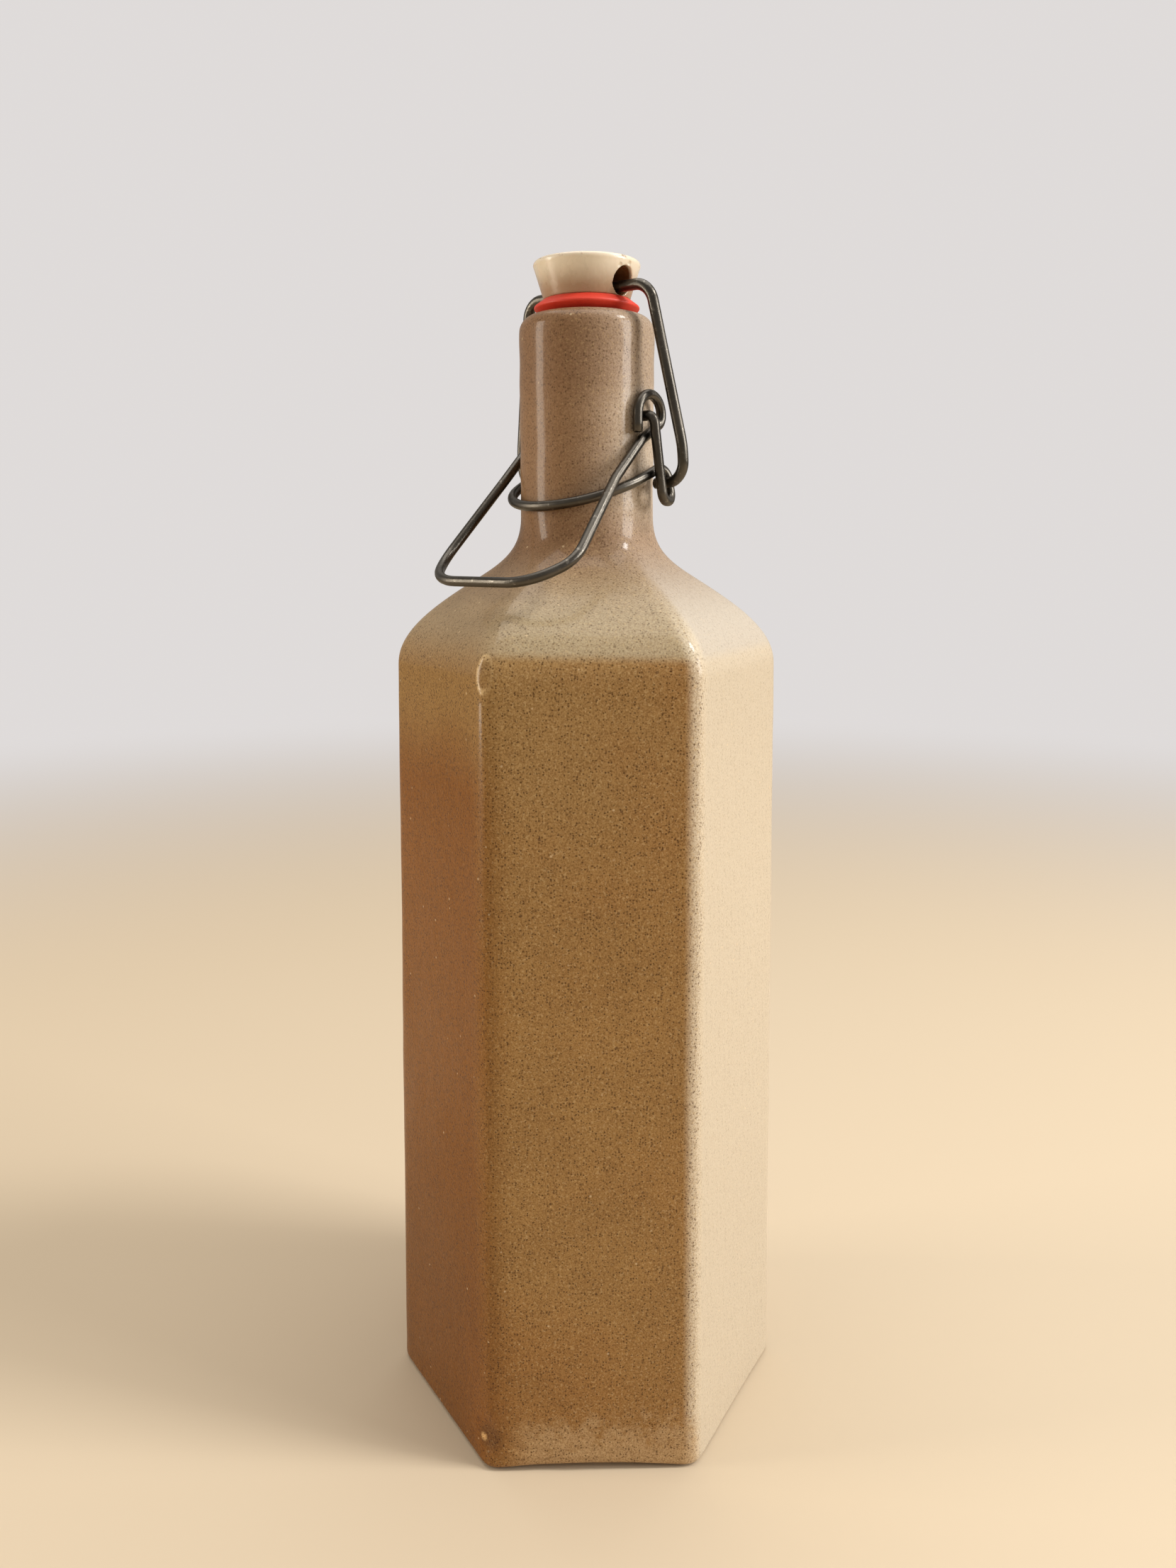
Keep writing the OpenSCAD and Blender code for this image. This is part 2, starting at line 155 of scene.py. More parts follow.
def outside_levels():
    """From the ring that the bottle stands on, round the foot, up the body and over the lip."""
    levels = [(FOOT_APOTHEM - 6.0, EDGE_R - 2.0, 0.0), (FOOT_APOTHEM - 2.4, EDGE_R - 1.2, 0.0)]
    for i in range(5):
        a = math.radians(90 * i / 4)
        inward = FOOT_ROUND * (1 - math.sin(a))
        levels.append((FOOT_APOTHEM - inward, EDGE_R - 0.6 * inward, FOOT_ROUND * (1 - math.cos(a))))
    top = shoulder(BODY_APOTHEM, EDGE_R, SHOULDER_Z, (COLLAR_R, COLLAR_Z), NECK_R, NECK_Z, 16, 14)
    foot = (FOOT_APOTHEM, EDGE_R, FOOT_ROUND)
    heel = (FOOT_APOTHEM + (top[0][0] - FOOT_APOTHEM) * 0.1, EDGE_R, HEEL_Z)
    brow = part_way(heel, top[0], (BROW_Z - HEEL_Z) / (SHOULDER_Z - HEEL_Z))
    levels += between(foot, heel, 26) + between(heel, brow, 42) + between(brow, top[0], 14) + top
    lip_foot = LIP_Z - LIP_ROUND
    levels += [turned_round(NECK_R, NECK_Z + (lip_foot - NECK_Z) * i / 14) for i in range(1, 15)]
    for i in range(1, 8):
        a = math.radians(90 * i / 7)
        levels.append(turned_round(NECK_R - LIP_ROUND * (1 - math.cos(a)),
                                   lip_foot + LIP_ROUND * math.sin(a)))
    return levels


def inside_levels():
    """From the mouth down the bore and the hollow to the floor."""
    mouth = BORE_R + MOUTH_ROUND
    levels = [turned_round(mouth + 1.2, LIP_Z)]
    for i in range(5):
        a = math.radians(90 * i / 4)
        levels.append(turned_round(mouth - MOUTH_ROUND * math.sin(a),
                                   LIP_Z - MOUTH_ROUND * (1 - math.cos(a))))
    hollow = shoulder(BODY_APOTHEM - WALL, INNER_EDGE_R, SHOULDER_Z - 0.3 * WALL, INNER_COLLAR,
                      BORE_R, BORE_FOOT_Z, 6, 6)
    foot = FOOT_APOTHEM - WALL
    levels += [turned_round(BORE_R, z) for z in (270.0, 256.0, 243.0)]
    levels += reversed(hollow)
    levels += between(hollow[0], (foot, INNER_EDGE_R, FLOOR_T + WALL / 2), 4)
    levels += [(foot - inward, INNER_EDGE_R, FLOOR_T + rise)
               for inward, rise in ((0, 3.5), (1.0, 1.0), (3.5, 0))]
    return levels


def place_on(vert, level):
    angle = math.atan2(vert.co.y, vert.co.x)
    apothem, edge_r, z = level
    reach = hexagon_reach(apothem, edge_r, angle - BODY_TURN)
    vert.co = (reach * math.cos(angle), reach * math.sin(angle), z)


def ease(value, low, high):
    t = min(1.0, max(0.0, (value - low) / (high - low)))
    return t * t * (3 - 2 * t)


def on_left_ridge(radius, z):
    angle = BODY_TURN - math.radians(30)
    return Vector((radius * math.cos(angle), radius * math.sin(angle), z))


# The flake off the foot of the ridge between left and front, and the torn glaze at the ridge's top
KNOCK, KNOCK_DEPTH = on_left_ridge(50.6, 8.2), 0.85
TEAR, TEAR_R, TEAR_STRETCH = on_left_ridge(47.0, 199.0), 2.0, 0.46


def uneven(co, out):
    """The slow waves of a fired wall, and the faint rings of the neck."""
    on_body = 1 - ease(co.z, 205, 232)
    co = co + out * on_body * 0.28 * noise.noise(co * 0.021 + Vector((7.1, 2.3, 0.4)))
    co = co + out * 0.10 * noise.noise(co * 0.11 + Vector((1.7, 9.2, 3.3)))
    return co + out * (1 - on_body) * 0.10 * math.sin(co.z * 0.62) * ease(co.z, 232, 240)


def warped_foot(co, out):
    """The front face's foot edge lifts in its middle and carries a rough band of glaze."""
    across = co.x * math.cos(BODY_TURN) + co.y * math.sin(BODY_TURN)
    along = co.y * math.cos(BODY_TURN) - co.x * math.sin(BODY_TURN)
    half = FOOT_APOTHEM * TAN30 - EDGE_R * 0.4
    warp = 1.3 * max(0.0, 1 - (along / half) ** 2) * ease(across, FOOT_APOTHEM - 8, FOOT_APOTHEM - 2.2)
    co.z += warp * (1 - ease(co.z, 0.5, 11))
    band = (1 - ease(co.z, 4.5, 11)) * ease(co.z, 0.2, 1.8)
    band *= ease(across, FOOT_APOTHEM - 1.5, FOOT_APOTHEM - 0.4) * ease(-along, -22, 4)
    return co + out * band * (0.22 + 0.42 * noise.noise(co * 0.55))


def knocked(co, out):
    """The flaked foot of the left ridge and the raised edge of the tear."""
    gap = (co - KNOCK) * Vector((1, 1, 0.42))
    co = co - out * KNOCK_DEPTH * (1 - ease(gap.length, 1.2, 3.4))
    gap = (co - TEAR) * Vector((1, 1, TEAR_STRETCH))
    return co + out * 0.4 * math.exp(-((gap.length - TEAR_R) / 0.5) ** 2)


def make_bottle(glaze):
    steps, crowding = 10, 2.0
    mesh = bmesh.new()
    bmesh.ops.create_circle(mesh, cap_ends=True, segments=12 * steps, radius=FOOT_APOTHEM)
    mesh.verts.ensure_lookup_table()
    angles = [math.radians(60 * f + math.copysign(30 * (1 - (1 - abs(i) / steps) ** crowding), i))
              for f in range(6) for i in range(-steps + 1, steps + 1)]
    for vert, angle in zip(mesh.verts, angles):
        vert.co = (math.cos(angle + BODY_TURN), math.sin(angle + BODY_TURN), 0)
    outside = outside_levels()
    for vert in mesh.verts:
        place_on(vert, outside[0])
    skin, rim = list(mesh.verts), list(mesh.edges)
    for level in outside[1:]:
        verts, rim = pulled_out(mesh, rim)
        for vert in verts:
            place_on(vert, level)
        skin += verts
    for level in inside_levels():
        verts, rim = pulled_out(mesh, rim)
        for vert in verts:
            place_on(vert, level)
    bmesh.ops.holes_fill(mesh, edges=rim, sides=0)
    for vert in skin:
        out = Vector((vert.co.x, vert.co.y, 0)).normalized()
        vert.co = knocked(warped_foot(uneven(vert.co.copy(), out), out), out)
    return rounded(finished(mesh, "glazed_bottle", "bottle", "bottle_body", glaze))


# ---- The wires -----------------------------------------------------------------------------------
# A nipped end keeps this share of the wire's radius, and widens to it over this length
NIPPED, NIP_LENGTH = 0.72, 0.28


def bent(before, corner, after, radius, step=math.radians(6)):
    """Stations (point, direction) round a bend of a wire."""
    u, w = (corner - before).normalized(), (after - corner).normalized()
    turn = u.angle(w)
    if turn < 1e-4:
        return [(corner, u)]
    out = -(w - u * u.dot(w)).normalized()
    middle = corner - u * radius * math.tan(turn / 2) - out * radius
    count = max(2, math.ceil(turn / step))
    return [(middle + radius * (out * math.cos(t) + u * math.sin(t)), u * math.cos(t) - out * math.sin(t))
            for t in (turn * i / count for i in range(count + 1))]


def bent_path(points, bends):
    points = [Vector(p) for p in points]
    path = [(points[0], (points[1] - points[0]).normalized())]
    for i in range(1, len(points) - 1):
        path += bent(points[i - 1], points[i], points[i + 1], bends[i])
    return path + [(points[-1], (points[-1] - points[-2]).normalized())]


def with_midpoints(path, longest=3.5):
    """Adds stations on long straights."""
    full = [path[0]]
    for (a, _), (b, along) in zip(path, path[1:]):
        pieces = max(1, math.ceil((b - a).length / longest))
        straight = (b - a).normalized() if (b - a).length > 1e-6 else along
        full += [(a.lerp(b, i / pieces), straight) for i in range(1, pieces)] + [(b, along)]
    return full


def mirrored(points):
    return [(-x, y, z) for x, y, z in points]


def frames_along(path):
    """A frame at each station, carried along without twist, with z down the wire."""
    frames, side = [], None
    for point, along in path:
        side = (along.orthogonal() if side is None else side - along * side.dot(along)).normalized()
        frames.append(Matrix((side, along.cross(side), along)).transposed().to_4x4())
        frames[-1].translation = point
    return frames


def draw_wire(path, radius, name, body, replaced, steel, sides=18):
    """Draws a round rim along a path, station by station, and nips its two ends."""
    frames = frames_along(with_midpoints(path))
    forth, back = (Matrix.Translation((0, 0, way * NIP_LENGTH)) for way in (1, -1))
    first, last = frames[0] @ forth, frames[-1] @ back
    stations = [first] + frames[1:-1] + [last]
    moves = [frames[0] @ forth @ Matrix.Scale(1 / NIPPED, 4) @ frames[0].inverted()]
    moves += [after @ before.inverted() for before, after in zip(stations, stations[1:])]
    moves += [last @ forth @ Matrix.Scale(NIPPED, 4) @ last.inverted()]
    mesh = bmesh.new()
    bmesh.ops.create_circle(mesh, cap_ends=True, segments=sides, radius=radius * NIPPED)
    bmesh.ops.transform(mesh, matrix=frames[0], verts=mesh.verts)
    rim = list(mesh.edges)
    for move in moves:
        verts, rim = pulled_out(mesh, rim)
        bmesh.ops.transform(mesh, matrix=move, verts=verts)
    bmesh.ops.holes_fill(mesh, edges=rim, sides=0)
    return finished(mesh, name, body, replaced, steel)


def make_yoke(steel):
    """From a pin in the neck down the riser, round the eye and, by the strand, to the other side."""
    pin_x, riser_x, foot_x, strand_r = 13.5, 20.575, 21.675, 18.4
    eye_bend, rear_y, foot_z = 2.55, 7.85, 237.9
    tilt, strand_z, strand_gap, steps = math.radians(21.5), PIVOT_Z - 13.8, 0.5, 48
    shift = (NECK_R + strand_gap + LEVER_WIRE_R) / math.cos(tilt) - strand_r
    join_y = -shift * math.cos(tilt)
    arm = [(pin_x, 0, PIVOT_Z), (riser_x, 0, PIVOT_Z), (foot_x, eye_bend, foot_z),
           (foot_x * 0.6 + strand_r * 0.4, rear_y, foot_z),
           (strand_r, rear_y, strand_z + rear_y * math.tan(tilt)),
           (strand_r, join_y, strand_z + join_y * math.tan(tilt))]
    bends = [0, 1.9, eye_bend, eye_bend, eye_bend, 0]
    along = Vector((0, math.cos(tilt), math.sin(tilt)))
    middle = Vector((0, 0, strand_z)) - along * shift
    strand = []
    for i in range(1, steps):
        t = math.pi * i / steps
        strand.append((middle + strand_r * (Vector((math.cos(t), 0, 0)) - along * math.sin(t)),
                       -Vector((math.sin(t), 0, 0)) - along * math.cos(t)))
    path = bent_path(arm, bends) + strand + bent_path(mirrored(arm)[::-1], bends[::-1])
    return draw_wire(path, LEVER_WIRE_R, "steel_yoke", "lever", "yoke_wire", steel)


def make_thumb_lever(steel):
    """A curl round each pin, and between the curls the loop that the thumb pushes."""
    curl_x, curl_front, curl_back, curl_leg = 18.0, -2.8, 6.32, 8.9
    curl_top, curl_low = PIVOT_Z + 5, PIVOT_Z - 1.2
    arm = [(curl_x, curl_front, curl_top - curl_leg), (curl_x, curl_front, curl_top),
           (curl_x, curl_back, curl_top), (curl_x, curl_back, curl_low)]
    # then forward and down to the thumb's bar: x, y and how far under the pivot
    arm += [(x, y, PIVOT_Z - under) for x, y, under in (
        (curl_x, -1.3, 5.5), (curl_x, -10.9, 14.5), (21.0, -28.7, 33.3), (14.9, -38.1, 38.2))]
    bends = [0, 4.55, 4.55, 2.4, 2.4, 18, 11.5, 11.5]
    path = bent_path(arm + mirrored(arm)[::-1], bends + bends[::-1])
    return draw_wire(path, LEVER_WIRE_R, "steel_thumb_lever", "lever", "thumb_lever", steel)


def make_bail(steel):
    """From one of the yoke's eyes up, through the stopper's cross hole and down to the other eye."""
    drop = math.hypot(EYE_Y, HOOK_Z - EYE_Z)
    top_x, leg_x, hook_x, hip = 18.9, 25.9, 17.2, 8.5
    arm = [(top_x, 0, 0), (leg_x, 0, hip - drop), (leg_x, 0, -drop), (hook_x, 0, -drop)]
    bends = [5, 20, 5, 0]
    place = Matrix.Translation((0, 0, HOOK_Z)) @ Matrix.Rotation(math.atan2(EYE_Y, HOOK_Z - EYE_Z), 4, "X")
    corners = [place @ Vector(p) for p in mirrored(arm)[::-1] + arm]
    path = bent_path(corners, bends[::-1] + bends)
    return draw_wire(path, BAIL_WIRE_R, "steel_bail", "bail", "bail_wire", steel, sides=20)


# ---- The stopper and its washer ------------------------------------------------------------------
# Knocks on the rim and round the mouths of the cross hole: x, y, z, size
CHIPS = (
    (12.6, -2.7, 291.2, 0.85), (12.8, 0.6, 292.0, 0.7), (12.6, 2.9, 290.6, 0.9), (12.1, -3.5, 289.0, 0.6),
    (12.0, 3.5, 288.2, 0.7), (-12.7, 2.6, 291.2, 0.9), (-12.6, -2.9, 290.6, 0.8), (-12.8, -0.4, 292.0, 0.8),
    (-9.6, -10.1, 294.6, 1.0), (-11.6, -7.8, 294.5, 0.95), (4.8, -13.4, 294.5, 0.9), (-13.3, 5.4, 294.4, 1.0),
    (9.9, 10.4, 294.6, 1.1),
)


def made_real(piece):
    """Applies a piece's modifiers."""
    solved = piece.evaluated_get(bpy.context.evaluated_depsgraph_get())
    data = bpy.data.meshes.new_from_object(solved)
    piece.modifiers.clear()
    piece.data = data


def carve(piece, knocks):
    """Pushes a dense mesh out of rough balls, which leaves dents where they stood."""
    for i, (x, y, z, size) in enumerate(knocks):
        centre = Vector((x, y, z)) * MM
        for vert in piece.data.vertices:
            away = vert.co - centre
            if away.length < size * 1.5 * MM:
                rough = size * MM * (1 + 0.4 * noise.noise(vert.co * 900 + Vector((i * 3.1, 0, 0))))
                if away.length < rough:
                    vert.co = centre + away.normalized() * rough


def make_stopper(porcelain):
    mesh = bmesh.new()
    mesh.from_mesh(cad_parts["stopper"].data)
    bmesh.ops.scale(mesh, vec=(1 / MM,) * 3, verts=mesh.verts)
    piece = finished(mesh, "porcelain_stopper", "stopper_head", "stopper", porcelain)
    remesh = piece.modifiers.new("fired", "REMESH")
    remesh.mode, remesh.voxel_size = "VOXEL", 0.28 * MM
    made_real(piece)
    carve(piece, CHIPS)
    relax = piece.modifiers.new("softened", "SMOOTH")
    relax.iterations, relax.factor = 3, 0.5
    made_real(piece)
    for polygon in piece.data.polygons:
        polygon.use_smooth = True
    piece.data.materials.clear()
    piece.data.materials.append(porcelain)
    return piece


def make_washer(rubber):
    mesh = bmesh.new()
    middle, half_rim = (LIP_Z + HEAD_Z) / 2, WASHER_RIM_H / 2
    profile = [(WASHER_BORE_R, LIP_Z), (WASHER_FACE_R, LIP_Z), (WASHER_RIM_R, middle - half_rim),
               (WASHER_RIM_R, middle + half_rim), (WASHER_FACE_R, HEAD_Z), (WASHER_BORE_R, HEAD_Z)]
    verts = [mesh.verts.new((r, 0, z)) for r, z in profile]
    edges = [mesh.edges.new((a, b)) for a, b in zip(verts, verts[1:] + verts[:1])]
    bmesh.ops.spin(mesh, geom=verts + edges, cent=(0, 0, 0), axis=(0, 0, 1), angle=math.tau, steps=96,
                   use_merge=True)
    bmesh.ops.remove_doubles(mesh, verts=mesh.verts, dist=0.001)
    rims = [e for e in mesh.edges if abs(e.verts[0].co.z - e.verts[1].co.z) < 1e-4
            and abs(e.verts[0].co.xy.length - e.verts[1].co.xy.length) < 1e-3
            and e.verts[0].co.xy.length > (WASHER_BORE_R + WASHER_FACE_R) / 2]
    bmesh.ops.bevel(mesh, geom=rims, offset=0.24, segments=3, profile=0.5, affect="EDGES", material=-1)
    return finished(mesh, "rubber_ring", "stopper_head", "rubber_washer", rubber)


# ---- Finishes ------------------------------------------------------------------------------------
class Finish:
    """A material whose pattern is laid out in the piece's own coordinates, in metres."""

    def __init__(self, name, **constants):
        self.material = bpy.data.materials.new(name)
        self.material.use_nodes = True
        self.tree = self.material.node_tree
        self.shader = self.tree.nodes["Principled BSDF"]
        self.place = self.tree.nodes.new("ShaderNodeTexCoord").outputs["Object"]
        for socket, value in constants.items():
            self.shader.inputs[socket.replace("_", " ")].default_value = value

    def node(self, kind, settings=None, **inputs):
        """Adds a node. An input is named with _ for a space, or counted as i0, i1 and so on."""
        made = self.tree.nodes.new("ShaderNode" + kind)
        for key, value in (settings or {}).items():
            setattr(made, key, value)
        for key, value in inputs.items():
            counted = key[0] == "i" and key[1:].isdigit()
            self.feed(made.inputs[int(key[1:]) if counted else key.replace("_", " ")], value)
        return made

    def feed(self, socket, value):
        if isinstance(value, bpy.types.NodeSocket):
            self.tree.links.new(value, socket)
        else:
            socket.default_value = value

    def cloud(self, scale, detail=3.0, roughness=0.5):
        return self.node("TexNoise", Vector=self.place, Scale=scale, Detail=detail,
                         Roughness=roughness).outputs["Fac"]

    def dots(self, scale, core, edge, channel, rarest, commonest):
        """Soft round dots in some of the cells of a pattern, picked by a channel of the cells' colours."""
        cells = self.node("TexVoronoi", {"feature": "F1"}, Vector=self.place, Scale=scale)
        chance = self.node("SeparateColor", Color=cells.outputs["Color"]).outputs[channel]
        return self.times(self.spread(cells.outputs["Distance"], core, edge, 1.0, 0.0),
                          self.spread(chance, rarest, commonest))

    def spread(self, value, low, high, to_low=0.0, to_high=1.0):
        """Maps low to high onto to_low to to_high, with soft ends."""
        made = self.node("MapRange", {"interpolation_type": "SMOOTHSTEP"}, Value=value)
        for key, number in zip(("From Min", "From Max", "To Min", "To Max"), (low, high, to_low, to_high)):
            made.inputs[key].default_value = number
        return made.outputs["Result"]

    def maths(self, operation, a, b=0.0):
        return self.node("Math", {"operation": operation}, i0=a, i1=b).outputs[0]

    def times(self, a, b):
        return self.maths("MULTIPLY", a, b)

    def plus(self, a, b):
        return self.maths("ADD", a, b)

    def minus(self, a, b):
        return self.maths("SUBTRACT", a, b)

    def bare(self, a):
        """A value without its sign."""
        return self.maths("ABSOLUTE", a)

    def vector(self, operation, a, b=(0, 0, 0)):
        return self.node("VectorMath", {"operation": operation}, i0=a, i1=b).outputs

    def blend(self, amount, a, b, how="MIX"):
        made = self.node("Mix", {"data_type": "RGBA", "blend_type": how})
        for index, value in ((0, amount), (6, a), (7, b)):
            self.feed(made.inputs[index], (*value, 1.0) if isinstance(value, tuple) else value)
        return made.outputs[2]

    def parts(self):
        """x, y and z of the place."""
        return self.node("SeparateXYZ", Vector=self.place).outputs

    def towards(self, azimuth):
        """How far a point lies from the axis in a direction, counted from -Y round to +X."""
        a = math.radians(azimuth)
        return self.vector("DOT_PRODUCT", self.place, (math.sin(a), -math.cos(a), 0))["Value"]

    def near(self, point, reach, soft):
        """1 within reach of a point given in millimetres, fading to 0."""
        gap = self.vector("DISTANCE", self.place, point * MM)["Value"]
        return self.spread(gap, reach * MM, (reach + soft) * MM, 1.0, 0.0)

    def done(self, colour, roughness, *bumps):
        """Links a colour, a roughness and bumps, each a height and how far it stands out."""
        self.feed(self.shader.inputs["Base Color"], colour)
        self.feed(self.shader.inputs["Roughness"], roughness)
        normal = None
        for height, distance in bumps:
            bump = self.node("Bump", Height=height, Distance=distance)
            if normal is not None:
                self.feed(bump.inputs["Normal"], normal)
            normal = bump.outputs["Normal"]
        self.feed(self.shader.inputs["Normal"], normal)
        return self.material


def linear(r, g, b):
    """A colour given as 0 to 255 display values."""
    return tuple(((c / 255 + 0.055) / 1.055) ** 2.4 if c > 10 else c / 255 / 12.92 for c in (r, g, b))


def glaze_map(f, z, drift):
    """Where each tone of the glaze and each patch of painted light lies, each from 0 to 1, and how near a
    point is to the neighbour faces.
    """
    front, left, right = f.towards(FRONT), f.towards(FRONT - 60), f.towards(FRONT + 60)
    to_left, to_right = f.minus(left, front), f.minus(right, front)
    sway = f.times(f.minus(drift, 0.5), 0.02)
    toast = f.spread(f.plus(to_left, f.times(sway, 0.5)), -0.008, 0.006)
    # the right side is painted pale here, as painted light and reflection
    painted_light_right = f.spread(to_right, -0.0015, 0.003)
    swayed = f.plus(z, f.times(sway, 0.2))
    # the shoulder's painted reflection of the light from above ends sharply over the front and softly over
    # the left
    high = f.blend(toast, f.spread(swayed, 0.2015, 0.2045), f.spread(swayed, 0.196, 0.209))
    return SimpleNamespace(front=front, to_left=to_left, to_right=to_right, sway=sway, toast=toast,
                           painted_light_right=painted_light_right, high=high, neck=f.spread(z, 0.209, 0.230))


def faces(f, z, drift, on):
    """Toasted clay on the left and buff on the front, with painted light and reflection round the right."""
    toasted = f.blend(f.spread(z, 0.02, 0.11), linear(118, 69, 2), linear(131, 78, 2))
    toasted = f.blend(f.spread(f.plus(z, on.sway), 0.168, 0.192), toasted, linear(155, 119, 67))
    blotch = f.cloud(55.0, 3.0, 0.6)
    buff = f.blend(f.spread(blotch, 0.35, 0.65), linear(160, 122, 72), linear(168, 130, 78))
    buff = f.blend(f.spread(z, 0.12, 0.20), buff, linear(166, 132, 84))
    body = f.blend(on.toast, buff, toasted)
    body = f.blend(f.times(f.spread(drift, 0.45, 0.7), 0.4), body, linear(150, 96, 42))
    # painted light and reflection laid over the right side
    return f.blend(on.painted_light_right, body, linear(198, 184, 162))


def shoulder_and_neck(f, z, on, body):
    # the shoulder is painted pale all round as a painted reflection of the light from above, paler still on
    # the lit right side
    over = f.blend(on.toast, linear(179, 164, 135), linear(161, 141, 111))
    over = f.blend(on.painted_light_right, over, linear(190, 180, 166))
    body = f.blend(f.times(on.high, 0.85), body, over)
    # a painted highlight runs along the ridge between front and right
    ridge = f.times(f.spread(f.bare(on.to_right), 0.0008, 0.0034, 1.0, 0.0), f.spread(on.front, 0.02, 0.03))
    ridge = f.times(ridge, f.spread(z, 0.204, 0.216, 0.7, 0.0))
    body = f.blend(ridge, body, linear(216, 203, 180))
    # the neck's right side is painted pale where the light falls, its foot is painted darker as the shade
    # under the yoke's strand, and it is darker towards the lip
    throat = f.blend(f.spread(on.to_right, -0.014, 0.005), linear(147, 114, 82), linear(194, 177, 157))
    throat = f.blend(f.spread(z, 0.228, 0.240, 0.6, 0.0), throat, linear(134, 100, 70))
    throat = f.blend(f.spread(z, 0.258, 0.268, 0.0, 0.4), throat, linear(124, 92, 66))
    return f.blend(on.neck, body, throat)


def foot_and_knocks(f, z, on, body):
    """Pale lumpy glaze along the foot of the front, the flaked corner beside it, and a painted highlight on
    the tear above.
    """
    on_front = f.times(f.spread(on.to_left, -0.012, -0.003, 1.0, 0.0), f.minus(1.0, on.painted_light_right))
    lumpy = f.times(f.minus(f.cloud(260.0, 3.0, 0.7), 0.5), 0.03)
    foot = f.times(f.spread(f.plus(z, lumpy), 0.006, 0.017, 1.0, 0.0), on_front)
    body = f.blend(f.times(foot, 0.75), body, linear(190, 158, 116))
    body = f.blend(f.times(f.near(KNOCK, 2.2, 2.2), 0.7), body, linear(112, 74, 38))
    body = f.blend(f.near(KNOCK - Vector((1.9, 1.2, 0.6)), 0.8, 0.9), body, linear(222, 178, 120))
    gap = f.vector("MULTIPLY", f.vector("SUBTRACT", f.place, TEAR * MM)[0], (1, 1, TEAR_STRETCH))[0]
    off_arc = f.bare(f.minus(f.vector("LENGTH", gap)["Value"], TEAR_R * MM))
    # the tear's raised edge gets a painted highlight, shown on the left side of its oval and fading over the
    # ridge
    arc = f.times(f.spread(off_arc, 0.0001, 0.0005, 1.0, 0.0),
                  f.spread(on.to_left, -0.0012, 0.0006, 0.2, 0.7))
    return f.blend(arc, body, linear(226, 196, 146))


def peppered(f, on, body):
    """Fine iron specks, faint where light and reflection are painted pale, with pale grains, a few larger
    spots and pale grog.
    """
    faintness = f.spread(f.maths("MAXIMUM", on.neck, f.minus(1.0, on.painted_light_right)), 0.0, 1.0, 0.7, 0.3)
    strength = f.minus(1.0, f.times(f.maths("MAXIMUM", on.painted_light_right, on.high), faintness))
    grain = f.spread(f.cloud(2400.0, 2.0, 0.7), 0.36, 0.60)
    body = f.blend(f.times(f.minus(1.0, grain), strength), body,
                   f.blend(1.0, body, linear(212, 203, 193), "MULTIPLY"))
    pale_grain = f.times(f.spread(f.cloud(1700.0, 1.0, 0.5), 0.56, 0.72),
                         f.minus(0.3, f.times(on.toast, 0.24)))
    body = f.blend(f.times(pale_grain, strength), body, linear(214, 184, 134))
    specks = f.times(f.dots(1900.0, 0.28, 0.55, 0, 0.62, 0.86), f.times(strength, 0.75))
    body = f.blend(specks, body, f.blend(1.0, body, linear(122, 100, 82), "MULTIPLY"))
    spots = f.times(f.dots(360.0, 0.08, 0.17, 0, 0.80, 0.86), f.times(strength, 0.6))
    body = f.blend(spots, body, linear(74, 46, 26))
    return f.blend(f.times(f.dots(420.0, 0.08, 0.16, 1, 0.90, 0.96), 0.5), body, linear(226, 200, 160))


def salt_glaze():
    f = Finish("salt_glaze", IOR=1.5, Specular_IOR_Level=0.1, Coat_Weight=0.3, Coat_Roughness=0.13)
    z = f.parts()[2]
    drift = f.cloud(14.0, 4.0, 0.55)
    on = glaze_map(f, z, drift)
    body = faces(f, z, drift, on)
    body = shoulder_and_neck(f, z, on, body)
    body = foot_and_knocks(f, z, on, body)
    return f.done(peppered(f, on, body), f.spread(drift, 0.3, 0.7, 0.34, 0.46),
                  (f.cloud(240.0, 3.0, 0.6), 0.00016), (f.cloud(1500.0, 2.0, 0.6), 0.00008))


def wire_steel():
    f = Finish("dull_wire", Metallic=1.0, Anisotropic=0.3)
    drift = f.cloud(90.0, 4.0, 0.6)
    scuff = f.spread(f.cloud(700.0, 3.0, 0.65), 0.60, 0.72)
    colour = f.blend(drift, linear(70, 68, 64), linear(98, 92, 84))
    colour = f.blend(f.times(scuff, 0.5), colour, linear(150, 144, 134))
    return f.done(colour, f.spread(drift, 0.3, 0.7, 0.26, 0.40), (f.cloud(1400.0, 2.0, 0.6), 0.00003))


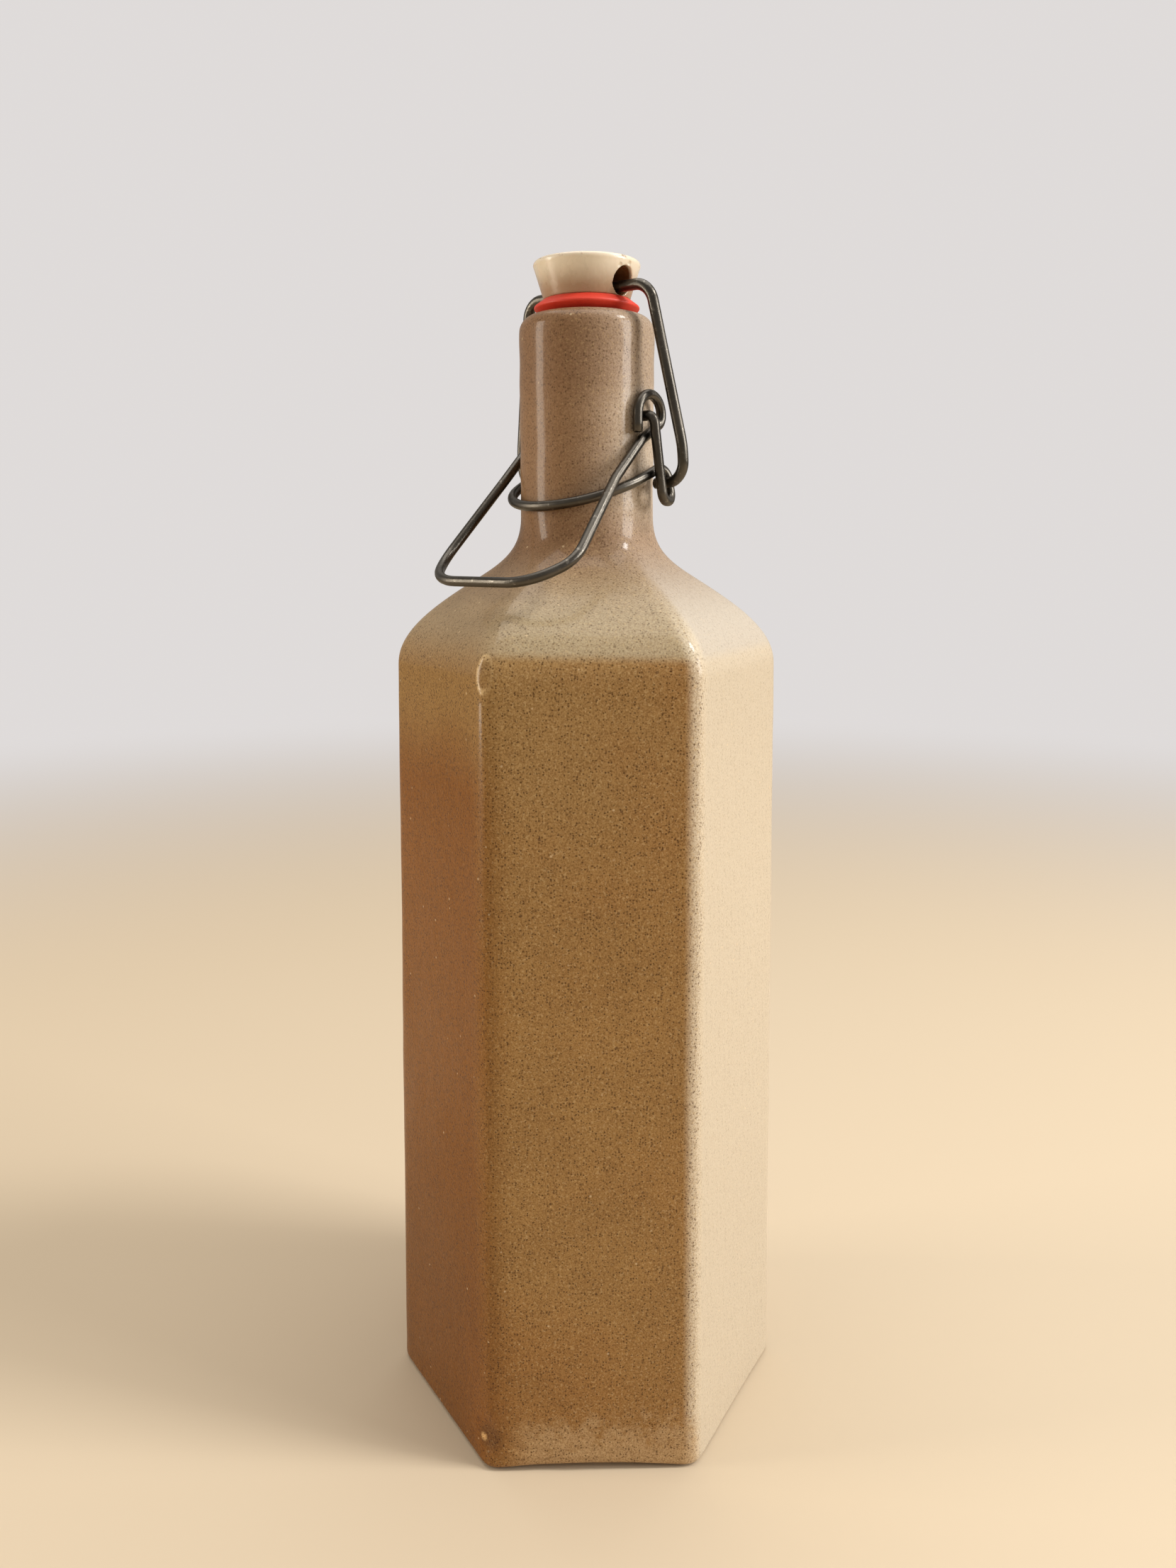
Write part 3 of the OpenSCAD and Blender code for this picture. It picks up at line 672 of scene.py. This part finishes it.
def porcelain_glaze():
    f = Finish("ivory_porcelain", IOR=1.5, Specular_IOR_Level=0.4, Coat_Weight=0.25, Coat_Roughness=0.12,
               Subsurface_Weight=0.06, Subsurface_Scale=0.002)
    x, y, z = f.parts()
    drift = f.cloud(150.0, 3.0, 0.6)
    body = f.blend(drift, linear(228, 217, 198), linear(220, 205, 180))
    # a tan stain with painted shade towards the washer, where the head faces down, and worn brown at the rim
    stain_and_shade_z = f.plus(z, f.times(f.minus(drift, 0.5), 0.004))
    body = f.blend(f.spread(stain_and_shade_z, 0.2862, 0.2925, 0.9, 0.0), body, linear(154, 122, 92))
    rim = f.times(f.spread(z, (HEAD_TOP - 1.3) * MM, (HEAD_TOP - 0.3) * MM),
                  f.spread(f.cloud(420.0, 3.0, 0.7), 0.56, 0.66))
    body = f.blend(f.times(rim, 0.7), body, linear(132, 96, 62))
    # dark brown inside the cross hole, which starts a little inside the head's cone
    tunnel = f.times(
        f.spread(f.bare(y), HOLE_HALF_W * MM, (HOLE_HALF_W + 0.8) * MM, 1.0, 0.0),
        f.spread(f.bare(f.minus(z, HOLE_Z * MM)), HOLE_HALF_H * MM, (HOLE_HALF_H + 1.0) * MM, 1.0, 0.0))
    slope = (HEAD_RIM_R - HEAD_FOOT_R) / (HEAD_TOP - HEAD_Z)
    cone = f.minus(f.times(z, slope), (HEAD_Z * slope - HEAD_FOOT_R) * MM)
    radial = f.vector("LENGTH", f.node("CombineXYZ", X=x, Y=y).outputs[0])["Value"]
    tunnel = f.times(tunnel, f.spread(f.minus(radial, cone), -0.0009, -0.0003, 1.0, 0.0))
    body = f.blend(tunnel, body, f.blend(f.cloud(800.0), linear(96, 58, 34), linear(140, 96, 60)))
    return f.done(body, f.spread(drift, 0.3, 0.7, 0.2, 0.34), (f.cloud(500.0), 0.00006))


def red_rubber():
    f = Finish("red_rubber", IOR=1.5)
    drift = f.cloud(260.0, 3.0, 0.6)
    body = f.blend(drift, linear(204, 44, 28), linear(224, 66, 42))
    return f.done(body, f.spread(drift, 0.3, 0.7, 0.42, 0.6), (f.cloud(900.0), 0.00005))


# ---- Stage ---------------------------------------------------------------------------------------
BACKDROP = (0.74, 0.71, 0.70, 1.0)


def floor_finish():
    """Pale and plain, and far out it turns into the backdrop for the camera."""
    f = Finish("pale_floor", Base_Color=(0.60, 0.49, 0.35, 1.0), Roughness=0.75)
    far = f.spread(f.vector("LENGTH", f.place)["Value"], 0.35, 1.3)
    glow = f.node("Emission", Color=BACKDROP, Strength=1.0)
    mixed = f.node("MixShader", i0=f.times(far, f.node("LightPath").outputs["Is Camera Ray"]),
                   i1=f.shader.outputs[0], i2=glow.outputs[0])
    f.feed(f.tree.nodes["Material Output"].inputs["Surface"], mixed.outputs[0])
    return f.material


def build_floor():
    mesh = bmesh.new()
    bmesh.ops.create_grid(mesh, x_segments=1, y_segments=1, size=6.0)
    bmesh.ops.translate(mesh, vec=(0, 0, -0.3 * MM), verts=mesh.verts)
    data = bpy.data.meshes.new("floor")
    mesh.to_mesh(data)
    mesh.free()
    data.materials.append(floor_finish())
    floor = bpy.data.objects.new("floor", data)
    bpy.context.scene.collection.objects.link(floor)


def build_world():
    """The camera sees the backdrop, and everything else is lit by a dimmer, warmer sky."""
    world = bpy.data.worlds.new("studio")
    world.use_nodes = True
    tree = world.node_tree
    shown = tree.nodes["Background"]
    shown.inputs["Color"].default_value = BACKDROP
    shown.inputs["Strength"].default_value = 1.0
    lit = tree.nodes.new("ShaderNodeBackground")
    lit.inputs["Color"].default_value = (1.0, 0.93, 0.84, 1.0)
    lit.inputs["Strength"].default_value = 0.38
    rays = tree.nodes.new("ShaderNodeLightPath")
    seen = tree.nodes.new("ShaderNodeMath")
    seen.operation = "MAXIMUM"
    mix = tree.nodes.new("ShaderNodeMixShader")
    for start, end in ((rays.outputs["Is Camera Ray"], seen.inputs[0]),
                       (rays.outputs["Is Transmission Ray"], seen.inputs[1]),
                       (seen.outputs[0], mix.inputs[0]), (lit.outputs[0], mix.inputs[1]),
                       (shown.outputs[0], mix.inputs[2]),
                       (mix.outputs[0], tree.nodes["World Output"].inputs["Surface"])):
        tree.links.new(start, end)
    bpy.context.scene.world = world


def soft_lamp(name, azimuth, elevation, distance, size, power, colour):
    """A lamp round the bottle: azimuth from -Y round to +X; distance, width and height in metres."""
    a, e = math.radians(azimuth), math.radians(elevation)
    back = Vector((math.sin(a) * math.cos(e), -math.cos(a) * math.cos(e), math.sin(e)))
    data = bpy.data.lights.new(name, "AREA")
    data.shape, data.size, data.size_y = "RECTANGLE", *size
    data.energy, data.color = power, colour
    lamp = bpy.data.objects.new(name, data)
    lamp.location = Vector((0, 0, 0.15)) + back * distance
    lamp.rotation_mode = "QUATERNION"
    lamp.rotation_quaternion = (-back).to_track_quat("-Z", "Y")
    bpy.context.scene.collection.objects.link(lamp)


def build_camera():
    place, azimuth, pitch = (0.19585, -0.23296, 0.2278), 40, 11.42
    data = bpy.data.cameras.new("camera")
    data.sensor_fit, data.sensor_width, data.lens = "AUTO", 36.0, 27.29
    data.clip_start, data.clip_end = 0.02, 40
    camera = bpy.data.objects.new("camera", data)
    camera.location = place
    camera.rotation_euler = (math.radians(90 - pitch), 0, math.radians(azimuth))
    bpy.context.scene.collection.objects.link(camera)
    bpy.context.scene.camera = camera


bpy.context.scene.view_settings.view_transform = "Standard"
build_camera()
build_floor()
build_world()
soft_lamp("window", 116, 20, 1.3, (0.6, 0.6), 12, (1.0, 0.985, 0.96))
soft_lamp("window_top", 118, 50, 1.3, (0.22, 0.26), 7.5, (1.0, 0.985, 0.96))
soft_lamp("far_window", -46, 12, 1.3, (0.36, 0.9), 9, (1.0, 0.92, 0.8))
soft_lamp("ceiling", 220, 83, 1.2, (1.1, 1.1), 8.5, (1.0, 0.98, 0.96))

steel = wire_steel()
make_bottle(salt_glaze())
make_yoke(steel)
make_thumb_lever(steel)
make_bail(steel)
make_stopper(porcelain_glaze())
make_washer(red_rubber())
